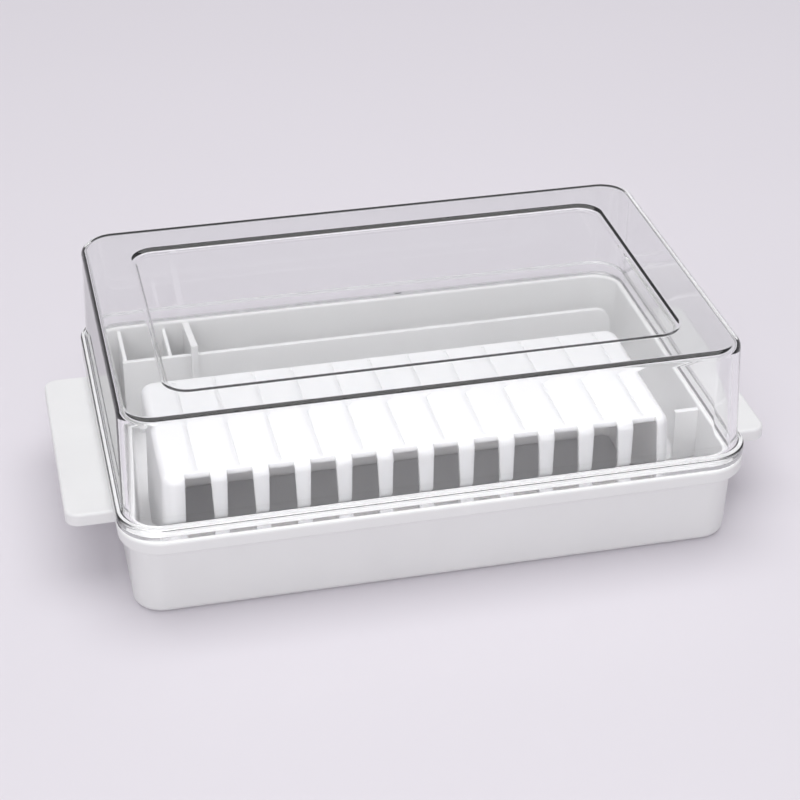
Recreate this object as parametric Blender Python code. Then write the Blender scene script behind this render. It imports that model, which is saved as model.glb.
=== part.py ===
"""Lidded slicing box for soap or butter: white tray, clear cover and comb-fronted cutting guide.

Metres, +Z up. The origin is the middle of the tray's underside, and the tray's long side runs along X.
"""
import math

import bmesh
import bpy

# ---- driving dimensions -------------------------------------------------------------------------
GAP = 0.0003                 # running gap between neighbouring pieces
CORNER_STEPS = 8             # facets in each rounded corner of an outline
EDGE_STEPS = 4               # facets in each rounded edge of a profile

# tray: half sizes along X and Y
RIM_HALF = (0.0882, 0.0611)
RIM_TOP = 0.0270
RIM_DEPTH = 0.0040
RIM_CORNER = 0.0125
RIM_EDGE = 0.0009
TUB_TOP_HALF = (0.0856, 0.0567)
TUB_FOOT_HALF = (0.0853, 0.0551)
TUB_CORNER = 0.0085
TUB_FOOT_EDGE = 0.0020
FLOOR_TOP = 0.0025
COVE = 0.0020
LIP_HALF = (0.0844, 0.0560)
LIP_TOP = 0.0282
LIP_WALL = 0.0014
BAY_FOOT_HALF = (0.0826, 0.0532)

# carrying tabs on the two short sides
TAB_REACH = 0.1012
TAB_HALF_WIDTH = 0.0374
TAB_TOP = 0.0236
TAB_DEPTH = 0.0036
TAB_SKIN = 0.0016
TAB_CORNER = 0.0040
TAB_ROOT = 0.0840

# low walls moulded on the tray floor
FENCE_FRONT = 0.0345
FENCE_WALL = 0.0014
FENCE_TOP = 0.0270
FENCE_LEFT = -0.0770
FENCE_RIGHT = 0.0766
FENCE_END_ROUND = 0.0050
BACK_ROOT = 0.0554           # how far the cross walls run into the back wall at their top
BACK_ROOT_FOOT = 0.0534      # and at their foot, because the tray wall leans inwards
CROSS_LEFT = -0.0565
CROSS_WALL = 0.0020
CROSS_FRONT = 0.0330
CROSS_FRONT_TOP = 0.0310
CROSS_BACK_TOP = 0.0272
STOP_LEFT = -0.0630
STOP_WALL = 0.0010
STOP_TOP = 0.0262
POST_LEFT = 0.0760
POST_ROOT = 0.0845
POST_ROOT_FOOT = 0.0838
POST_FRONT = -0.0285
POST_WALL = 0.0016
WALL_FOOT = 0.0018           # height at which the low walls start, inside the floor

# cover
COVER_BASE = RIM_TOP + GAP
COVER_TOP = 0.0620
COVER_WALL = 0.0018
COVER_TOP_HALF = (0.0860, 0.0562)
COVER_FOOT_HALF = (0.0866, 0.0583)
COVER_CORNER = 0.0100
COVER_TOP_EDGE = 0.0024
FLANGE_HALF = (0.0883, 0.0612)
FLANGE_TOP = 0.0310
FLANGE_EDGE = 0.0009
PANEL_HALF = (0.0716, 0.0414)
PANEL_CORNER = 0.0065
PANEL_SINK = 0.0010
PANEL_STEP = 0.0022           # width of the soft step down into the panel

# cutting guide, a channel with a comb for its front wall that stands open side down in the tray
GUIDE_CENTRE = (-0.0047, -0.0249)
GUIDE_FOOT = FLOOR_TOP + GAP
GUIDE_TOP = 0.0400
GUIDE_TOP_HALF = (0.07075, 0.02545)
GUIDE_FOOT_HALF = (0.0723, 0.0270)
GUIDE_CORNER = 0.0040
GUIDE_WALL = 0.0018
GUIDE_EDGE = 0.0025
SLOT_COUNT = 12
SLOT_PITCH = 0.01134
FIRST_SLOT_X = -0.0660
SLOT_BACK = -0.0482          # how far back the gaps reach into the top plate
SLOT_TOP_WIDTH = 0.0069
SLOT_FOOT_WIDTH = 0.0094
GROOVE_FRONT = -0.0470
GROOVE_BACK = -0.0022
GROOVE_WIDTH = 0.0010
GROOVE_DEPTH = 0.0004

FAR = 0.0020                 # how far a cutter runs past the faces it cuts


# ---- scene and helpers --------------------------------------------------------------------------
def clear_scene():
    for item in list(bpy.data.objects):
        bpy.data.objects.remove(item, do_unlink=True)


def collection(name):
    made = bpy.data.collections.new(name)
    bpy.context.scene.collection.children.link(made)
    return made


def material(name, colour, roughness, alpha=1.0):
    made = bpy.data.materials.new(name)
    made.use_nodes = True
    shader = made.node_tree.nodes["Principled BSDF"]
    shader.inputs["Base Color"].default_value = (*colour, 1.0)
    shader.inputs["Roughness"].default_value = roughness
    shader.inputs["Metallic"].default_value = 0.0
    shader.inputs["Alpha"].default_value = alpha
    made.diffuse_color = (*colour, alpha)
    return made


def inset(half, amount):
    return (half[0] - amount, half[1] - amount)


def outline(half, corner, z):
    """Points of a rounded rectangle at height z, anticlockwise seen from above."""
    points = []
    for quarter, (sx, sy) in enumerate(((1, 1), (-1, 1), (-1, -1), (1, -1))):
        cx = sx * (half[0] - corner)
        cy = sy * (half[1] - corner)
        for step in range(CORNER_STEPS + 1):
            angle = math.radians(90.0 * (quarter + step / CORNER_STEPS))
            points.append((cx + corner * math.cos(angle), cy + corner * math.sin(angle), z))
    return points


def edge_round(half, corner, z, radius, start, turn):
    """Sections round a profile edge: angles in degrees from outwards, z is the arc centre's height."""
    sections = []
    for step in range(EDGE_STEPS + 1):
        angle = math.radians(start + turn * step / EDGE_STEPS)
        out = radius * math.cos(angle) - radius
        grown = (half[0] + out, half[1] + out)
        sections.append((grown, corner + out, z + radius * math.sin(angle)))
    return sections


def loft(name, sections, parts, finish, centre=(0.0, 0.0)):
    """A closed solid through rounded-rectangle sections, capped at the first and the last."""
    mesh = bpy.data.meshes.new(name)
    bm = bmesh.new()
    rings = []
    for half, corner, z in sections:
        rings.append([bm.verts.new(point) for point in outline(half, corner, z)])
    for lower, upper in zip(rings, rings[1:]):
        for i in range(len(lower)):
            j = (i + 1) % len(lower)
            bm.faces.new((lower[i], lower[j], upper[j], upper[i]))
    bm.faces.new(reversed(rings[0]))
    bm.faces.new(rings[-1])
    bmesh.ops.recalc_face_normals(bm, faces=bm.faces)
    bm.to_mesh(mesh)
    bm.free()
    mesh.shade_smooth()
    mesh.set_sharp_from_angle(angle=math.radians(35.0))
    made = bpy.data.objects.new(name, mesh)
    made.location = (centre[0], centre[1], 0.0)
    parts.objects.link(made)
    mesh.materials.append(finish)
    return made


def block(name, low, high, tools, reshape=None):
    """A box between two corners, kept as a tool; reshape may move or bevel it in bmesh first."""
    mesh = bpy.data.meshes.new(name)
    bm = bmesh.new()
    bmesh.ops.create_cube(bm, size=1.0)
    for vert in bm.verts:
        for axis in range(3):
            middle = (low[axis] + high[axis]) / 2.0
            vert.co[axis] = middle + vert.co[axis] * (high[axis] - low[axis])
    if reshape:
        reshape(bm)
    bm.to_mesh(mesh)
    bm.free()
    made = bpy.data.objects.new(name, mesh)
    made.display_type = "WIRE"
    made.hide_render = True
    tools.objects.link(made)
    return made


def round_edges(bm, test, radius, segments):
    """Round the edges whose two ends both pass the test."""
    edges = [edge for edge in bm.edges if all(test(vert.co) for vert in edge.verts)]
    bmesh.ops.bevel(bm, geom=edges, offset=radius, segments=segments, profile=0.5, affect="EDGES")


def boolean(target, tool, operation):
    modifier = target.modifiers.new(tool.name, "BOOLEAN")
    modifier.object = tool
    modifier.operation = operation
    modifier.solver = "EXACT"


# ---- tray ---------------------------------------------------------------------------------------
def tray_sections():
    rim_foot = RIM_TOP - RIM_DEPTH
    sections = []
    sections += edge_round(TUB_FOOT_HALF, TUB_CORNER, TUB_FOOT_EDGE, TUB_FOOT_EDGE, -90.0, 90.0)
    sections.append((TUB_TOP_HALF, TUB_CORNER, rim_foot))
    sections += edge_round(RIM_HALF, RIM_CORNER, rim_foot + RIM_EDGE, RIM_EDGE, -90.0, 90.0)
    sections += edge_round(RIM_HALF, RIM_CORNER, RIM_TOP - RIM_EDGE, RIM_EDGE, 0.0, 90.0)
    lip_corner = TUB_CORNER
    sections.append((LIP_HALF, lip_corner, RIM_TOP))
    sections.append((LIP_HALF, lip_corner, LIP_TOP - LIP_WALL / 3))
    sections.append((inset(LIP_HALF, LIP_WALL / 3), lip_corner, LIP_TOP))
    sections.append((inset(LIP_HALF, LIP_WALL * 2 / 3), lip_corner, LIP_TOP))
    inner_corner = lip_corner - LIP_WALL
    inner_top = inset(LIP_HALF, LIP_WALL)
    sections.append((inner_top, inner_corner, LIP_TOP - LIP_WALL / 3))
    cove_top = FLOOR_TOP + COVE
    for step in range(EDGE_STEPS + 1):
        angle = math.radians(90.0 * step / EDGE_STEPS)
        inward = COVE * (1.0 - math.cos(angle))
        height = cove_top - COVE * math.sin(angle)
        sections.append((inset(BAY_FOOT_HALF, inward), inner_corner - inward, height))
    return sections


def add_tab(tray, side, tools):
    """One carrying tab: a slab with rounded outer corners, hollow underneath."""
    foot = TAB_TOP - TAB_DEPTH
    inner, outer = sorted((side * TAB_ROOT, side * TAB_REACH))

    def round_outside(bm):
        def outside(co):
            return abs(co.x - side * TAB_REACH) < 1e-6

        uprights = [edge for edge in bm.edges if outside(edge.verts[0].co) and outside(edge.verts[1].co)
                    and abs(edge.verts[0].co.z - edge.verts[1].co.z) > 1e-6]
        bmesh.ops.bevel(bm, geom=uprights, offset=TAB_CORNER, segments=5, profile=0.5, affect="EDGES")
        round_edges(bm, lambda co: co.z > TAB_TOP - 1e-6, TAB_SKIN / 2, 2)

    name = "tab_left" if side < 0 else "tab_right"
    slab = block(name, (inner, -TAB_HALF_WIDTH, foot), (outer, TAB_HALF_WIDTH, TAB_TOP), tools, round_outside)
    boolean(tray, slab, "UNION")
    near, far = sorted((side * (RIM_HALF[0] - TAB_SKIN), side * (TAB_REACH - TAB_SKIN)))
    reach = TAB_HALF_WIDTH - TAB_SKIN
    hollow = block(name + "_hollow", (near, -reach, foot - FAR), (far, reach, TAB_TOP - TAB_SKIN), tools)
    boolean(tray, hollow, "DIFFERENCE")


def add_floor_walls(tray, tools):
    """The long fence, its left end, two cross walls and the front right post."""
    fence_back = FENCE_FRONT + FENCE_WALL

    def round_right_end(bm):
        round_edges(bm, lambda co: co.x > FENCE_RIGHT - 1e-6 and co.z > FENCE_TOP - 1e-6,
                    FENCE_END_ROUND, 6)

    def lean_back(bm):
        for vert in bm.verts:
            if vert.co.z < FLOOR_TOP and vert.co.y > BACK_ROOT - 1e-6:
                vert.co.y = BACK_ROOT_FOOT

    def lean_and_slope(bm):
        lean_back(bm)
        for vert in bm.verts:
            if vert.co.z > FLOOR_TOP and vert.co.y > fence_back:
                vert.co.z = CROSS_BACK_TOP

    def lean_right(bm):
        for vert in bm.verts:
            if vert.co.z < FLOOR_TOP and vert.co.x > POST_ROOT - 1e-6:
                vert.co.x = POST_ROOT_FOOT

    walls = (
        block("fence", (FENCE_LEFT, FENCE_FRONT, WALL_FOOT), (FENCE_RIGHT, fence_back, FENCE_TOP),
              tools, round_right_end),
        block("fence_left_end", (FENCE_LEFT + GAP, FENCE_FRONT + GAP, WALL_FOOT - GAP),
              (FENCE_LEFT + FENCE_WALL, BACK_ROOT, FENCE_TOP - GAP / 3), tools, lean_back),
        block("cross_wall", (CROSS_LEFT, CROSS_FRONT, WALL_FOOT - GAP * 2),
              (CROSS_LEFT + CROSS_WALL, BACK_ROOT, CROSS_FRONT_TOP), tools, lean_and_slope),
        block("low_cross_wall", (STOP_LEFT, FENCE_FRONT + GAP, WALL_FOOT - GAP),
              (STOP_LEFT + STOP_WALL, BACK_ROOT, STOP_TOP), tools, lean_back),
        block("front_right_post", (POST_LEFT, POST_FRONT, WALL_FOOT),
              (POST_ROOT, POST_FRONT + POST_WALL, FENCE_TOP), tools, lean_right),
    )
    for wall in walls:
        boolean(tray, wall, "UNION")


def build_tray(parts, tools):
    white = material("tray_white", (0.86, 0.86, 0.86), 0.35)
    tray = loft("tray", tray_sections(), parts, white)
    for side in (-1, 1):
        add_tab(tray, side, tools)
    add_floor_walls(tray, tools)


# ---- cover --------------------------------------------------------------------------------------
def panel_step(height):
    """Sections of the soft step from the sunken panel up to its surround, outwards and upwards."""
    sections = []
    for step in range(2 * EDGE_STEPS + 1):
        part = step / (2 * EDGE_STEPS)
        out = PANEL_STEP * (part - 0.5)
        rise = PANEL_SINK * (1.0 - math.cos(math.pi * part)) / 2.0
        sections.append((inset(PANEL_HALF, -out), PANEL_CORNER + out, height - PANEL_SINK + rise))
    return sections


def cover_sections():
    """From the sunken panel on top, down the outside, round the flange and up the inside."""
    outer = panel_step(COVER_TOP)
    shoulder = COVER_TOP - COVER_TOP_EDGE
    outer += edge_round(COVER_TOP_HALF, COVER_CORNER, shoulder, COVER_TOP_EDGE, 90.0, -90.0)
    outer.append((COVER_FOOT_HALF, COVER_CORNER, FLANGE_TOP + FLANGE_EDGE))
    outer.append((inset(COVER_FOOT_HALF, -FLANGE_EDGE / 2), COVER_CORNER + FLANGE_EDGE / 2, FLANGE_TOP))
    flange_corner = RIM_CORNER
    outer += edge_round(FLANGE_HALF, flange_corner, FLANGE_TOP - FLANGE_EDGE, FLANGE_EDGE, 90.0, -90.0)
    outer += edge_round(FLANGE_HALF, flange_corner, COVER_BASE + FLANGE_EDGE, FLANGE_EDGE, 0.0, -90.0)
    inner_corner = COVER_CORNER - COVER_WALL
    ceiling = COVER_TOP - COVER_WALL
    inner_edge = COVER_TOP_EDGE - COVER_WALL
    inner = [(inset(COVER_FOOT_HALF, COVER_WALL), inner_corner, COVER_BASE)]
    inner += edge_round(inset(COVER_TOP_HALF, COVER_WALL), inner_corner, ceiling - inner_edge,
                        inner_edge, 0.0, 90.0)
    return outer + inner + panel_step(ceiling)[::-1]


def build_cover(parts):
    clear = material("cover_clear", (0.95, 0.95, 0.96), 0.05, 0.25)
    loft("cover", cover_sections(), parts, clear)


# ---- cutting guide ------------------------------------------------------------------------------
def guide_sections():
    shoulder = GUIDE_TOP - GUIDE_EDGE
    outer = edge_round(GUIDE_TOP_HALF, GUIDE_CORNER, shoulder, GUIDE_EDGE, 90.0, -90.0)
    outer.append((GUIDE_FOOT_HALF, GUIDE_CORNER, GUIDE_FOOT))
    inner_corner = GUIDE_CORNER - GUIDE_WALL
    ceiling = GUIDE_TOP - GUIDE_WALL
    inner_edge = GUIDE_EDGE - GUIDE_WALL
    inner = [(inset(GUIDE_FOOT_HALF, GUIDE_WALL), inner_corner, GUIDE_FOOT)]
    inner += edge_round(inset(GUIDE_TOP_HALF, GUIDE_WALL), inner_corner, ceiling - inner_edge,
                        inner_edge, 0.0, 90.0)
    return outer + inner


def slot_cutter(index, tools):
    """One gap of the comb: a wedge through the front wall, narrower upwards and open at the top."""
    x = FIRST_SLOT_X + index * SLOT_PITCH
    foot = GUIDE_FOOT - FAR
    top = GUIDE_TOP + FAR
    slope = (SLOT_FOOT_WIDTH - SLOT_TOP_WIDTH) / (GUIDE_TOP - GUIDE_FOOT)
    foot_half = (SLOT_FOOT_WIDTH + slope * FAR) / 2.0
    top_half = (SLOT_TOP_WIDTH - slope * FAR) / 2.0
    front = GUIDE_CENTRE[1] - GUIDE_FOOT_HALF[1] - FAR

    def narrow_top(bm):
        for vert in bm.verts:
            if vert.co.z > GUIDE_TOP:
                vert.co.x = x + math.copysign(top_half, vert.co.x - x)

    return block(f"slot_{index:02d}", (x - foot_half, front, foot), (x + foot_half, SLOT_BACK, top),
                 tools, narrow_top)


def groove_cutter(index, tools):
    """A shallow line across the top plate, in line with one gap."""
    x = FIRST_SLOT_X + index * SLOT_PITCH
    low = (x - GROOVE_WIDTH / 2.0, GROOVE_FRONT, GUIDE_TOP - GROOVE_DEPTH)
    high = (x + GROOVE_WIDTH / 2.0, GROOVE_BACK, GUIDE_TOP + FAR)
    return block(f"groove_{index:02d}", low, high, tools)


def build_guide(parts, tools):
    white = material("guide_white", (0.90, 0.90, 0.91), 0.40)
    guide = loft("cutting_guide", guide_sections(), parts, white, GUIDE_CENTRE)
    for index in range(SLOT_COUNT):
        boolean(guide, slot_cutter(index, tools), "DIFFERENCE")
        boolean(guide, groove_cutter(index, tools), "DIFFERENCE")


def main():
    clear_scene()
    parts = collection("slicing_box")
    tools = collection("cutters")
    build_tray(parts, tools)
    build_cover(parts)
    build_guide(parts, tools)


main()
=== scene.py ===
"""Looks of the lidded slicing box: white tray, clear cover and comb-fronted cutting guide.

Metres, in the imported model's frame: +Z up, the origin in the middle of the tray's underside.
"""
import math

import bmesh
import bpy
from mathutils import Matrix, Vector


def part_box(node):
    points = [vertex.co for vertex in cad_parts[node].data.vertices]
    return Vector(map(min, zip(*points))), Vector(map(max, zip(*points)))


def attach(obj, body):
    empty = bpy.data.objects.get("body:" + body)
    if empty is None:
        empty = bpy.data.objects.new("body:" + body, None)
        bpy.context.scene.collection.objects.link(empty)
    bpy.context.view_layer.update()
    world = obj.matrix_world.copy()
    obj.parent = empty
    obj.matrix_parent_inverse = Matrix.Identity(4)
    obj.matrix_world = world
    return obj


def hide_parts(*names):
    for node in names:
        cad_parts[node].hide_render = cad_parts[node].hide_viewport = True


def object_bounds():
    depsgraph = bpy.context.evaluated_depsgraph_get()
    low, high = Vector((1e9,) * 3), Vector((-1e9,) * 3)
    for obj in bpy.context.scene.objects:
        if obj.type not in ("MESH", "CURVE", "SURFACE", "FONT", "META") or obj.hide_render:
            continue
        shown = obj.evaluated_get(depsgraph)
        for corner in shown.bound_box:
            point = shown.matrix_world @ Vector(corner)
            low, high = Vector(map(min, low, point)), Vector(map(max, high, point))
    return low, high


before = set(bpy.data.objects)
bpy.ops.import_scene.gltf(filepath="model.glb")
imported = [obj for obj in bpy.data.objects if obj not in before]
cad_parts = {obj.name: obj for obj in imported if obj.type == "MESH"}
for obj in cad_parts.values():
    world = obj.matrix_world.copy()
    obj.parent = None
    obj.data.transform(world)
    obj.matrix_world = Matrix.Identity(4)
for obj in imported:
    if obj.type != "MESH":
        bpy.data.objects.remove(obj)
CAD_LOW, CAD_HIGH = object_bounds()
COVER_LOW, COVER_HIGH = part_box("cover")
GUIDE_LOW, GUIDE_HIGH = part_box("cutting_guide")

# ---- shared -------------------------------------------------------------------------------------
GAP = 0.0003                  # running gap between neighbouring pieces
CORNER_STEPS = 28             # facets in each rounded corner of an outline
EDGE_STEPS = 8                # facets in each rounded edge of a profile

# ---- tray ---------------------------------------------------------------------------------------
RIM_TOP = COVER_LOW.z - GAP
RIM_DEPTH = 0.0040
RIM_HALF = (COVER_HIGH.x - 0.0001, COVER_HIGH.y - 0.0001)
RIM_CORNER = 0.0125
RIM_EDGE = 0.0009
TUB_TOP_HALF = (0.0856, 0.0567)
TUB_FOOT_HALF = (0.0853, 0.0551)
TUB_CORNER = 0.0085
TUB_FOOT_EDGE = 0.0020
FLOOR_TOP = GUIDE_LOW.z - GAP
COVE = 0.0020
LIP_HALF = (0.0844, 0.0560)
LIP_TOP = RIM_TOP + 0.0012
LIP_WALL = 0.0014
BAY_FOOT_HALF = (0.0826, 0.0532)
TAB_REACH = CAD_HIGH.x
TAB_HALF_WIDTH = 0.0374
TAB_TOP = RIM_TOP - 0.0034
TAB_DEPTH = 0.0036
TAB_SKIN = 0.0016
TAB_CORNER = 0.0040
TAB_ROOT = 0.0840
WALL_FOOT = 0.0018            # where the low walls start, inside the floor
FENCE_FRONT = 0.0345
FENCE_WALL = 0.0014
FENCE_LEFT = -0.0770
FENCE_RIGHT = 0.0766
FENCE_END_ROUND = 0.0050
BACK_ROOT = 0.0554
BACK_ROOT_FOOT = 0.0534
CROSS_LEFT = -0.0565
CROSS_WALL = 0.0020
CROSS_FRONT = 0.0330
CROSS_FRONT_TOP = 0.0310
CROSS_BACK_TOP = 0.0272
STOP_LEFT = -0.0630
STOP_WALL = 0.0010
STOP_TOP = 0.0262
POST_LEFT = 0.0760
POST_ROOT = 0.0845
POST_ROOT_FOOT = 0.0838
POST_FRONT = -0.0285
POST_WALL = 0.0016
MOULDED_EDGE = 0.00022        # softening of edges left by the mould

# ---- cover --------------------------------------------------------------------------------------
COVER_WALL = 0.0018
COVER_TOP_HALF = (0.0860, 0.0562)
COVER_FOOT_HALF = (0.0866, 0.0583)
COVER_CORNER = 0.0100
COVER_TOP_EDGE = 0.0024
FLANGE_TOP = COVER_LOW.z + 0.0037
FLANGE_EDGE = 0.0009
PANEL_HALF = (0.0716, 0.0414)
PANEL_CORNER = 0.0065
PANEL_SINK = 0.0010
PANEL_STEP = 0.0022           # width of the soft step down into the panel
GATE_RADIUS = 0.0011
GATE_HEIGHT = 0.0002

# ---- cutting guide ------------------------------------------------------------------------------
GUIDE_CENTRE = ((GUIDE_LOW.x + GUIDE_HIGH.x) / 2, (GUIDE_LOW.y + GUIDE_HIGH.y) / 2)
GUIDE_FOOT_HALF = ((GUIDE_HIGH.x - GUIDE_LOW.x) / 2, (GUIDE_HIGH.y - GUIDE_LOW.y) / 2)
GUIDE_DRAFT = 0.00155
GUIDE_TOP_HALF = (GUIDE_FOOT_HALF[0] - GUIDE_DRAFT, GUIDE_FOOT_HALF[1] - GUIDE_DRAFT)
GUIDE_CORNER = 0.0040
GUIDE_WALL = 0.0018
GUIDE_EDGE = 0.0025
SLOT_COUNT = 12
SLOT_PITCH = 0.01134
FIRST_SLOT_X = GUIDE_LOW.x + 0.0110
SLOT_BACK = GUIDE_LOW.y + 0.0037  # how far back the gaps reach into the top plate
SLOT_TOP_WIDTH = 0.0069
SLOT_FOOT_WIDTH = 0.0094
GROOVE_FRONT = SLOT_BACK + 0.0012
GROOVE_BACK = GUIDE_HIGH.y - 0.0043
GROOVE_WIDTH = 0.0010
GROOVE_DEPTH = 0.0004
FAR = 0.0020                  # how far a cutter runs past the faces it cuts

# ---- camera and room ----------------------------------------------------------------------------
CAMERA_AZIMUTH = math.radians(-12.789)
CAMERA_ELEVATION = math.radians(31.09)
CAMERA_ROLL = math.radians(0.139)
CAMERA_DISTANCE = 0.6124
CAMERA_LENS = 93.75           # millimetres, on a 36 mm sensor
AIM_OFFSET = Vector((0.0, -0.0027, -0.00445))
FLOOR_HALF = 3.0
OVERHEAD_POWER = 7.6          # watts
FILL_POWER = 8.4              # watts
ROOM_STRENGTH = 0.49
COVER_SOFTENING = 0.00035     # width of the softened edges on the clear cover
COVER_SOFTENING_ANGLE = 30.0


# ---- mesh helpers -------------------------------------------------------------------------------
def inset(half, amount):
    return (half[0] - amount, half[1] - amount)


def outline(half, corner, z):
    """Points of a rounded rectangle at height z, anticlockwise seen from above."""
    points = []
    for quarter, (sx, sy) in enumerate(((1, 1), (-1, 1), (-1, -1), (1, -1))):
        cx = sx * (half[0] - corner)
        cy = sy * (half[1] - corner)
        for step in range(CORNER_STEPS + 1):
            angle = math.radians(90.0 * (quarter + step / CORNER_STEPS))
            points.append((cx + corner * math.cos(angle), cy + corner * math.sin(angle), z))
    return points


def edge_round(half, corner, z, radius, start, turn):
    """Sections round a profile edge: angles in degrees from outwards, z is the arc centre's height."""
    sections = []
    for step in range(EDGE_STEPS + 1):
        angle = math.radians(start + turn * step / EDGE_STEPS)
        out = radius * math.cos(angle) - radius
        grown = (half[0] + out, half[1] + out)
        sections.append((grown, corner + out, z + radius * math.sin(angle)))
    return sections


def finish_mesh(name, bm, finish):
    bmesh.ops.recalc_face_normals(bm, faces=bm.faces)
    mesh = bpy.data.meshes.new(name)
    bm.to_mesh(mesh)
    bm.free()
    mesh.shade_smooth()
    made = bpy.data.objects.new(name, mesh)
    bpy.context.scene.collection.objects.link(made)
    if finish:
        mesh.materials.append(finish)
    return made


def loft(name, sections, finish, centre=(0.0, 0.0)):
    """A closed solid through rounded-rectangle sections, capped at the first and the last."""
    bm = bmesh.new()
    rings = []
    for half, corner, z in sections:
        rings.append([bm.verts.new(point) for point in outline(half, corner, z)])
    for lower, upper in zip(rings, rings[1:]):
        for i in range(len(lower)):
            j = (i + 1) % len(lower)
            bm.faces.new((lower[i], lower[j], upper[j], upper[i]))
    bm.faces.new(reversed(rings[0]))
    bm.faces.new(rings[-1])
    for vert in bm.verts:
        vert.co.x += centre[0]
        vert.co.y += centre[1]
    return finish_mesh(name, bm, finish)


def block(low, high, reshape=None):
    """A box between two corners as a bmesh; reshape may move or bevel it first."""
    bm = bmesh.new()
    bmesh.ops.create_cube(bm, size=1.0)
    for vert in bm.verts:
        for axis in range(3):
            middle = (low[axis] + high[axis]) / 2.0
            vert.co[axis] = middle + vert.co[axis] * (high[axis] - low[axis])
    if reshape:
        reshape(bm)
    return bm


def round_edges(bm, test, radius, segments):
    """Round the edges whose two ends both pass the test."""
    edges = [edge for edge in bm.edges if all(test(vert.co) for vert in edge.verts)]
    bmesh.ops.bevel(bm, geom=edges, offset=radius, segments=segments, profile=0.5, affect="EDGES")


def combine(target, bm, operation):
    """Apply one exact boolean of a block to the target, then drop the block."""
    tool = finish_mesh("tool", bm, None)
    modifier = target.modifiers.new("combine", "BOOLEAN")
    modifier.object = tool
    modifier.operation = operation
    modifier.solver = "EXACT"
    graph = bpy.context.evaluated_depsgraph_get()
    mesh = bpy.data.meshes.new_from_object(target.evaluated_get(graph))
    target.modifiers.clear()
    old = target.data
    target.data = mesh
    bpy.data.meshes.remove(old)
    bpy.data.objects.remove(tool, do_unlink=True)


def soften(obj, width, angle=40.0):
    """A narrow rounded edge wherever two faces meet sharply, and flat normals on flat faces."""
    bevel = obj.modifiers.new("moulded_edges", "BEVEL")
    bevel.width = width
    bevel.segments = 3
    bevel.limit_method = "ANGLE"
    bevel.angle_limit = math.radians(angle)
    bevel.harden_normals = False
    bevel.use_clamp_overlap = True
    even_normals(obj)


def even_normals(obj):
    weighted = obj.modifiers.new("even_normals", "WEIGHTED_NORMAL")
    weighted.mode = "FACE_AREA"
    weighted.weight = 100
    weighted.keep_sharp = True


# ---- materials ----------------------------------------------------------------------------------
def new_material(name):
    made = bpy.data.materials.new(name)
    made.use_nodes = True
    tree = made.node_tree
    return made, tree, tree.nodes["Principled BSDF"]


def object_noise(tree, scale, detail, roughness=0.5):
    """Fractal noise in object coordinates, so that it stays with the piece."""
    coords = tree.nodes.new("ShaderNodeTexCoord")
    noise = tree.nodes.new("ShaderNodeTexNoise")
    noise.inputs["Scale"].default_value = scale
    noise.inputs["Detail"].default_value = detail
    noise.inputs["Roughness"].default_value = roughness
    tree.links.new(coords.outputs["Object"], noise.inputs["Vector"])
    return noise.outputs["Fac"]


def spread(tree, value, low, high):
    """Map a noise value onto a range."""
    node = tree.nodes.new("ShaderNodeMapRange")
    node.inputs["From Min"].default_value = 0.3
    node.inputs["From Max"].default_value = 0.7
    node.inputs["To Min"].default_value = low
    node.inputs["To Max"].default_value = high
    tree.links.new(value, node.inputs["Value"])
    return node.outputs["Result"]


def add_bump(tree, shader, value, strength, distance):
    bump = tree.nodes.new("ShaderNodeBump")
    bump.inputs["Strength"].default_value = strength
    bump.inputs["Distance"].default_value = distance
    tree.links.new(value, bump.inputs["Height"])
    tree.links.new(bump.outputs["Normal"], shader.inputs["Normal"])


def moulded_white(name, dark, light, roughness, glow, reach):
    """White moulded plastic: fine grain, slight flow clouding and a little light passing through."""
    made, tree, shader = new_material(name)
    cloud = object_noise(tree, 38.0, 3.0)
    ramp = tree.nodes.new("ShaderNodeMix")
    ramp.data_type = "RGBA"
    ramp.inputs["A"].default_value = (*dark, 1.0)
    ramp.inputs["B"].default_value = (*light, 1.0)
    tree.links.new(spread(tree, cloud, 0.0, 1.0), ramp.inputs["Factor"])
    tree.links.new(ramp.outputs["Result"], shader.inputs["Base Color"])
    grain = object_noise(tree, 900.0, 4.0, 0.6)
    tree.links.new(spread(tree, grain, roughness - 0.05, roughness + 0.07), shader.inputs["Roughness"])
    add_bump(tree, shader, grain, 0.10, 0.00003)
    shader.inputs["IOR"].default_value = 1.49
    shader.inputs["Subsurface Weight"].default_value = glow
    shader.inputs["Subsurface Radius"].default_value = (reach, reach * 0.97, reach * 0.94)
    shader.inputs["Subsurface Scale"].default_value = 1.0
    return made


def clear_plastic(name):
    """Clear polystyrene: faint flow waviness, fine handling haze, and shadows that let light through."""
    made, tree, shader = new_material(name)
    wave = object_noise(tree, 22.0, 2.0)
    haze = object_noise(tree, 260.0, 5.0, 0.65)
    tree.links.new(spread(tree, haze, 0.012, 0.045), shader.inputs["Roughness"])
    add_bump(tree, shader, wave, 0.06, 0.0004)
    shader.inputs["Base Color"].default_value = (0.985, 0.985, 0.99, 1.0)
    shader.inputs["IOR"].default_value = 1.57
    shader.inputs["Transmission Weight"].default_value = 1.0
    path = tree.nodes.new("ShaderNodeLightPath")
    open_to_lamps = tree.nodes.new("ShaderNodeBsdfTransparent")
    open_to_lamps.inputs["Color"].default_value = (0.96, 0.96, 0.965, 1.0)
    mix = tree.nodes.new("ShaderNodeMixShader")
    output = tree.nodes["Material Output"]
    tree.links.new(path.outputs["Is Shadow Ray"], mix.inputs["Fac"])
    tree.links.new(shader.outputs["BSDF"], mix.inputs[1])
    tree.links.new(open_to_lamps.outputs["BSDF"], mix.inputs[2])
    tree.links.new(mix.outputs["Shader"], output.inputs["Surface"])
    return made


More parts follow.
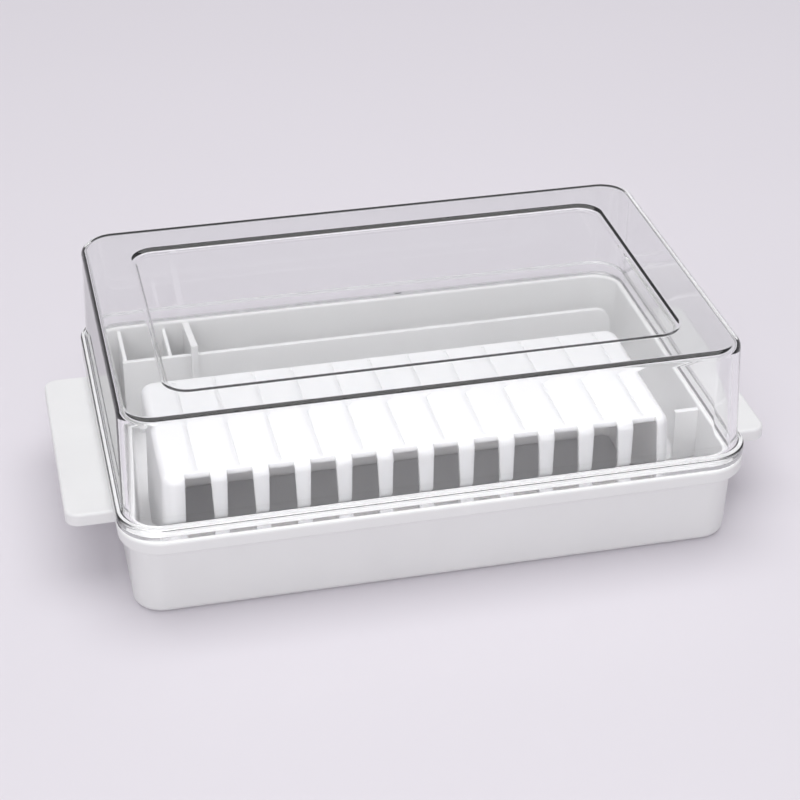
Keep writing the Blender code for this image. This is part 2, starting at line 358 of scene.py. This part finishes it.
def paper_floor(name):
    made, tree, shader = new_material(name)
    cloud = object_noise(tree, 3.0, 3.0)
    ramp = tree.nodes.new("ShaderNodeMix")
    ramp.data_type = "RGBA"
    ramp.inputs["A"].default_value = (0.735, 0.705, 0.750, 1.0)
    ramp.inputs["B"].default_value = (0.750, 0.720, 0.765, 1.0)
    tree.links.new(spread(tree, cloud, 0.0, 1.0), ramp.inputs["Factor"])
    tree.links.new(ramp.outputs["Result"], shader.inputs["Base Color"])
    shader.inputs["Roughness"].default_value = 0.55
    add_bump(tree, shader, object_noise(tree, 400.0, 3.0), 0.05, 0.0001)
    return made


# ---- tray ---------------------------------------------------------------------------------------
def tray_sections():
    rim_foot = RIM_TOP - RIM_DEPTH
    sections = edge_round(TUB_FOOT_HALF, TUB_CORNER, TUB_FOOT_EDGE, TUB_FOOT_EDGE, -90.0, 90.0)
    sections.append((TUB_TOP_HALF, TUB_CORNER, rim_foot))
    sections += edge_round(RIM_HALF, RIM_CORNER, rim_foot + RIM_EDGE, RIM_EDGE, -90.0, 90.0)
    sections += edge_round(RIM_HALF, RIM_CORNER, RIM_TOP - RIM_EDGE, RIM_EDGE, 0.0, 90.0)
    sections.append((LIP_HALF, TUB_CORNER, RIM_TOP))
    half_lip = LIP_WALL / 2
    sections += edge_round(LIP_HALF, TUB_CORNER, LIP_TOP - half_lip, half_lip, 0.0, 180.0)
    inner_corner = TUB_CORNER - LIP_WALL
    cove_top = FLOOR_TOP + COVE
    for step in range(EDGE_STEPS + 1):
        angle = math.radians(90.0 * step / EDGE_STEPS)
        inward = COVE * (1.0 - math.cos(angle))
        height = cove_top - COVE * math.sin(angle)
        sections.append((inset(BAY_FOOT_HALF, inward), inner_corner - inward, height))
    return sections


def add_tab(tray, side):
    """One carrying tab: a slab with rounded outer corners, hollow underneath."""
    foot = TAB_TOP - TAB_DEPTH
    inner, outer = sorted((side * TAB_ROOT, side * TAB_REACH))

    def round_outside(bm):
        def outside(co):
            return abs(co.x - side * TAB_REACH) < 1e-6

        uprights = [edge for edge in bm.edges if outside(edge.verts[0].co) and outside(edge.verts[1].co)
                    and abs(edge.verts[0].co.z - edge.verts[1].co.z) > 1e-6]
        bmesh.ops.bevel(bm, geom=uprights, offset=TAB_CORNER, segments=10, profile=0.5, affect="EDGES")
        round_edges(bm, lambda co: co.z > TAB_TOP - 1e-6, TAB_SKIN / 2, 4)

    combine(tray, block((inner, -TAB_HALF_WIDTH, foot), (outer, TAB_HALF_WIDTH, TAB_TOP), round_outside),
            "UNION")
    near, far = sorted((side * (RIM_HALF[0] - TAB_SKIN), side * (TAB_REACH - TAB_SKIN)))
    reach = TAB_HALF_WIDTH - TAB_SKIN
    combine(tray, block((near, -reach, foot - FAR), (far, reach, TAB_TOP - TAB_SKIN)), "DIFFERENCE")


def add_floor_walls(tray):
    """The long fence, its left end, two cross walls and the front right post."""
    fence_back = FENCE_FRONT + FENCE_WALL
    fence_top = RIM_TOP

    def round_right_end(bm):
        round_edges(bm, lambda co: co.x > FENCE_RIGHT - 1e-6 and co.z > fence_top - 1e-6,
                    FENCE_END_ROUND, 12)

    def lean_back(bm):
        for vert in bm.verts:
            if vert.co.z < FLOOR_TOP and vert.co.y > BACK_ROOT - 1e-6:
                vert.co.y = BACK_ROOT_FOOT

    def lean_and_slope(bm):
        lean_back(bm)
        for vert in bm.verts:
            if vert.co.z > FLOOR_TOP and vert.co.y > fence_back:
                vert.co.z = CROSS_BACK_TOP

    def lean_right(bm):
        for vert in bm.verts:
            if vert.co.z < FLOOR_TOP and vert.co.x > POST_ROOT - 1e-6:
                vert.co.x = POST_ROOT_FOOT

    walls = (
        block((FENCE_LEFT, FENCE_FRONT, WALL_FOOT), (FENCE_RIGHT, fence_back, fence_top), round_right_end),
        block((FENCE_LEFT + GAP, FENCE_FRONT + GAP, WALL_FOOT - GAP),
              (FENCE_LEFT + FENCE_WALL, BACK_ROOT, fence_top - GAP / 3), lean_back),
        block((CROSS_LEFT, CROSS_FRONT, WALL_FOOT - GAP * 2),
              (CROSS_LEFT + CROSS_WALL, BACK_ROOT, CROSS_FRONT_TOP), lean_and_slope),
        block((STOP_LEFT, FENCE_FRONT + GAP, WALL_FOOT - GAP),
              (STOP_LEFT + STOP_WALL, BACK_ROOT, STOP_TOP), lean_back),
        block((POST_LEFT, POST_FRONT, WALL_FOOT), (POST_ROOT, POST_FRONT + POST_WALL, fence_top),
              lean_right),
    )
    for wall in walls:
        combine(tray, wall, "UNION")


def build_tray():
    white = moulded_white("tray_white", (0.76, 0.76, 0.76), (0.79, 0.79, 0.79), 0.34, 0.15, 0.0016)
    tray = loft("tray_shell", tray_sections(), white)
    for side in (-1, 1):
        add_tab(tray, side)
    add_floor_walls(tray)
    tray.data.shade_smooth()
    soften(tray, MOULDED_EDGE)
    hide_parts("tray")
    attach(tray, "base")


# ---- cover --------------------------------------------------------------------------------------
def panel_step(height):
    """Sections of the soft step from the sunken panel up to its surround, outwards and upwards."""
    sections = []
    for step in range(2 * EDGE_STEPS + 1):
        part = step / (2 * EDGE_STEPS)
        out = PANEL_STEP * (part - 0.5)
        rise = PANEL_SINK * (1.0 - math.cos(math.pi * part)) / 2.0
        sections.append((inset(PANEL_HALF, -out), PANEL_CORNER + out, height - PANEL_SINK + rise))
    return sections


def cover_sections():
    """From the sunken panel on top, down the outside, round the flange and up the inside."""
    cover_top = COVER_HIGH.z
    outer = panel_step(cover_top)
    shoulder = cover_top - COVER_TOP_EDGE
    outer += edge_round(COVER_TOP_HALF, COVER_CORNER, shoulder, COVER_TOP_EDGE, 90.0, -90.0)
    outer.append((COVER_FOOT_HALF, COVER_CORNER, FLANGE_TOP + FLANGE_EDGE))
    outer.append((inset(COVER_FOOT_HALF, -FLANGE_EDGE / 2), COVER_CORNER + FLANGE_EDGE / 2, FLANGE_TOP))
    flange_half = (COVER_HIGH.x, COVER_HIGH.y)
    outer += edge_round(flange_half, RIM_CORNER, FLANGE_TOP - FLANGE_EDGE, FLANGE_EDGE, 90.0, -90.0)
    outer += edge_round(flange_half, RIM_CORNER, COVER_LOW.z + FLANGE_EDGE, FLANGE_EDGE, 0.0, -90.0)
    inner_corner = COVER_CORNER - COVER_WALL
    ceiling = cover_top - COVER_WALL
    inner_edge = COVER_TOP_EDGE - COVER_WALL
    inner = [(inset(COVER_FOOT_HALF, COVER_WALL), inner_corner, COVER_LOW.z)]
    inner += edge_round(inset(COVER_TOP_HALF, COVER_WALL), inner_corner, ceiling - inner_edge,
                        inner_edge, 0.0, 90.0)
    return outer + inner + panel_step(ceiling)[::-1]


def gate_mark():
    """The small raised disc that the mould's gate leaves in the middle of the panel."""
    bm = bmesh.new()
    bmesh.ops.create_cone(bm, cap_ends=True, segments=32, radius1=GATE_RADIUS, radius2=GATE_RADIUS * 0.7,
                          depth=GATE_HEIGHT * 2)
    for vert in bm.verts:
        vert.co.z += COVER_HIGH.z - PANEL_SINK
    return bm


def build_cover():
    cover = loft("cover_shell", cover_sections(), clear_plastic("cover_clear"))
    combine(cover, gate_mark(), "UNION")
    cover.data.shade_smooth()
    soften(cover, COVER_SOFTENING, COVER_SOFTENING_ANGLE)
    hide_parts("cover")
    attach(cover, "lid")


# ---- cutting guide ------------------------------------------------------------------------------
def guide_sections():
    top = GUIDE_HIGH.z
    outer = edge_round(GUIDE_TOP_HALF, GUIDE_CORNER, top - GUIDE_EDGE, GUIDE_EDGE, 90.0, -90.0)
    outer.append((GUIDE_FOOT_HALF, GUIDE_CORNER, GUIDE_LOW.z))
    inner_corner = GUIDE_CORNER - GUIDE_WALL
    ceiling = top - GUIDE_WALL
    inner_edge = GUIDE_EDGE - GUIDE_WALL
    inner = [(inset(GUIDE_FOOT_HALF, GUIDE_WALL), inner_corner, GUIDE_LOW.z)]
    inner += edge_round(inset(GUIDE_TOP_HALF, GUIDE_WALL), inner_corner, ceiling - inner_edge,
                        inner_edge, 0.0, 90.0)
    return outer + inner


def slot_block(x):
    """One gap of the comb: a wedge through the front wall, narrower upwards and open at the top."""
    foot = GUIDE_LOW.z - FAR
    top = GUIDE_HIGH.z + FAR
    slope = (SLOT_FOOT_WIDTH - SLOT_TOP_WIDTH) / (GUIDE_HIGH.z - GUIDE_LOW.z)
    foot_half = (SLOT_FOOT_WIDTH + slope * FAR) / 2.0
    top_half = (SLOT_TOP_WIDTH - slope * FAR) / 2.0

    def narrow_top(bm):
        for vert in bm.verts:
            if vert.co.z > GUIDE_HIGH.z:
                vert.co.x = x + math.copysign(top_half, vert.co.x - x)

    return block((x - foot_half, GUIDE_LOW.y - FAR, foot), (x + foot_half, SLOT_BACK, top), narrow_top)


def groove_block(x):
    """A shallow line across the top plate, in line with one gap."""
    low = (x - GROOVE_WIDTH / 2.0, GROOVE_FRONT, GUIDE_HIGH.z - GROOVE_DEPTH)
    high = (x + GROOVE_WIDTH / 2.0, GROOVE_BACK, GUIDE_HIGH.z + FAR)
    return block(low, high)


def build_guide():
    white = moulded_white("guide_white", (0.78, 0.78, 0.785), (0.81, 0.81, 0.815), 0.42, 1.0, 0.0045)
    guide = loft("guide_comb", guide_sections(), white, GUIDE_CENTRE)
    for index in range(SLOT_COUNT):
        x = FIRST_SLOT_X + index * SLOT_PITCH
        combine(guide, slot_block(x), "DIFFERENCE")
        combine(guide, groove_block(x), "DIFFERENCE")
    guide.data.shade_smooth()
    soften(guide, MOULDED_EDGE)
    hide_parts("cutting_guide")
    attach(guide, "guide")


# ---- room ---------------------------------------------------------------------------------------
def build_floor():
    bm = bmesh.new()
    bmesh.ops.create_grid(bm, x_segments=2, y_segments=2, size=FLOOR_HALF)
    for vert in bm.verts:
        vert.co.z = CAD_LOW.z
    floor = finish_mesh("floor", bm, paper_floor("pale_floor"))


def area_light(name, place, aim, size, power):
    light = bpy.data.lights.new(name, "AREA")
    light.shape = "RECTANGLE"
    light.size = size[0]
    light.size_y = size[1]
    light.energy = power
    made = bpy.data.objects.new(name, light)
    made.location = place
    made.rotation_mode = "QUATERNION"
    made.rotation_quaternion = (Vector(aim) - Vector(place)).to_track_quat("-Z", "Y")
    bpy.context.scene.collection.objects.link(made)


def build_lights():
    area_light("overhead", (0.0, 0.10, 1.10), (0.0, 0.0, 0.0), (1.3, 1.0), OVERHEAD_POWER)
    area_light("front_fill", (-0.5, -1.4, 0.75), (0.0, 0.0, 0.03), (1.0, 0.8), FILL_POWER)
    world = bpy.data.worlds.new("room")
    world.use_nodes = True
    background = world.node_tree.nodes["Background"]
    background.inputs["Color"].default_value = (0.97, 0.96, 1.0, 1.0)
    background.inputs["Strength"].default_value = ROOM_STRENGTH
    bpy.context.scene.world = world


def build_camera():
    camera = bpy.data.cameras.new("camera")
    camera.lens = CAMERA_LENS
    camera.clip_start = 0.01
    camera.clip_end = 20.0
    made = bpy.data.objects.new("camera", camera)
    level = math.cos(CAMERA_ELEVATION)
    back = Vector((math.sin(CAMERA_AZIMUTH) * level, -math.cos(CAMERA_AZIMUTH) * level,
                   math.sin(CAMERA_ELEVATION)))
    aim = (CAD_LOW + CAD_HIGH) / 2 + AIM_OFFSET
    made.rotation_mode = "QUATERNION"
    made.location = aim + back * CAMERA_DISTANCE
    turn = Matrix.Rotation(-CAMERA_ROLL, 4, back)
    made.rotation_quaternion = turn.to_quaternion() @ (-back).to_track_quat("-Z", "Y")
    bpy.context.scene.collection.objects.link(made)
    bpy.context.scene.camera = made


build_tray()
build_cover()
build_guide()
build_floor()
build_lights()
build_camera()
bpy.context.scene.view_settings.view_transform = "Standard"
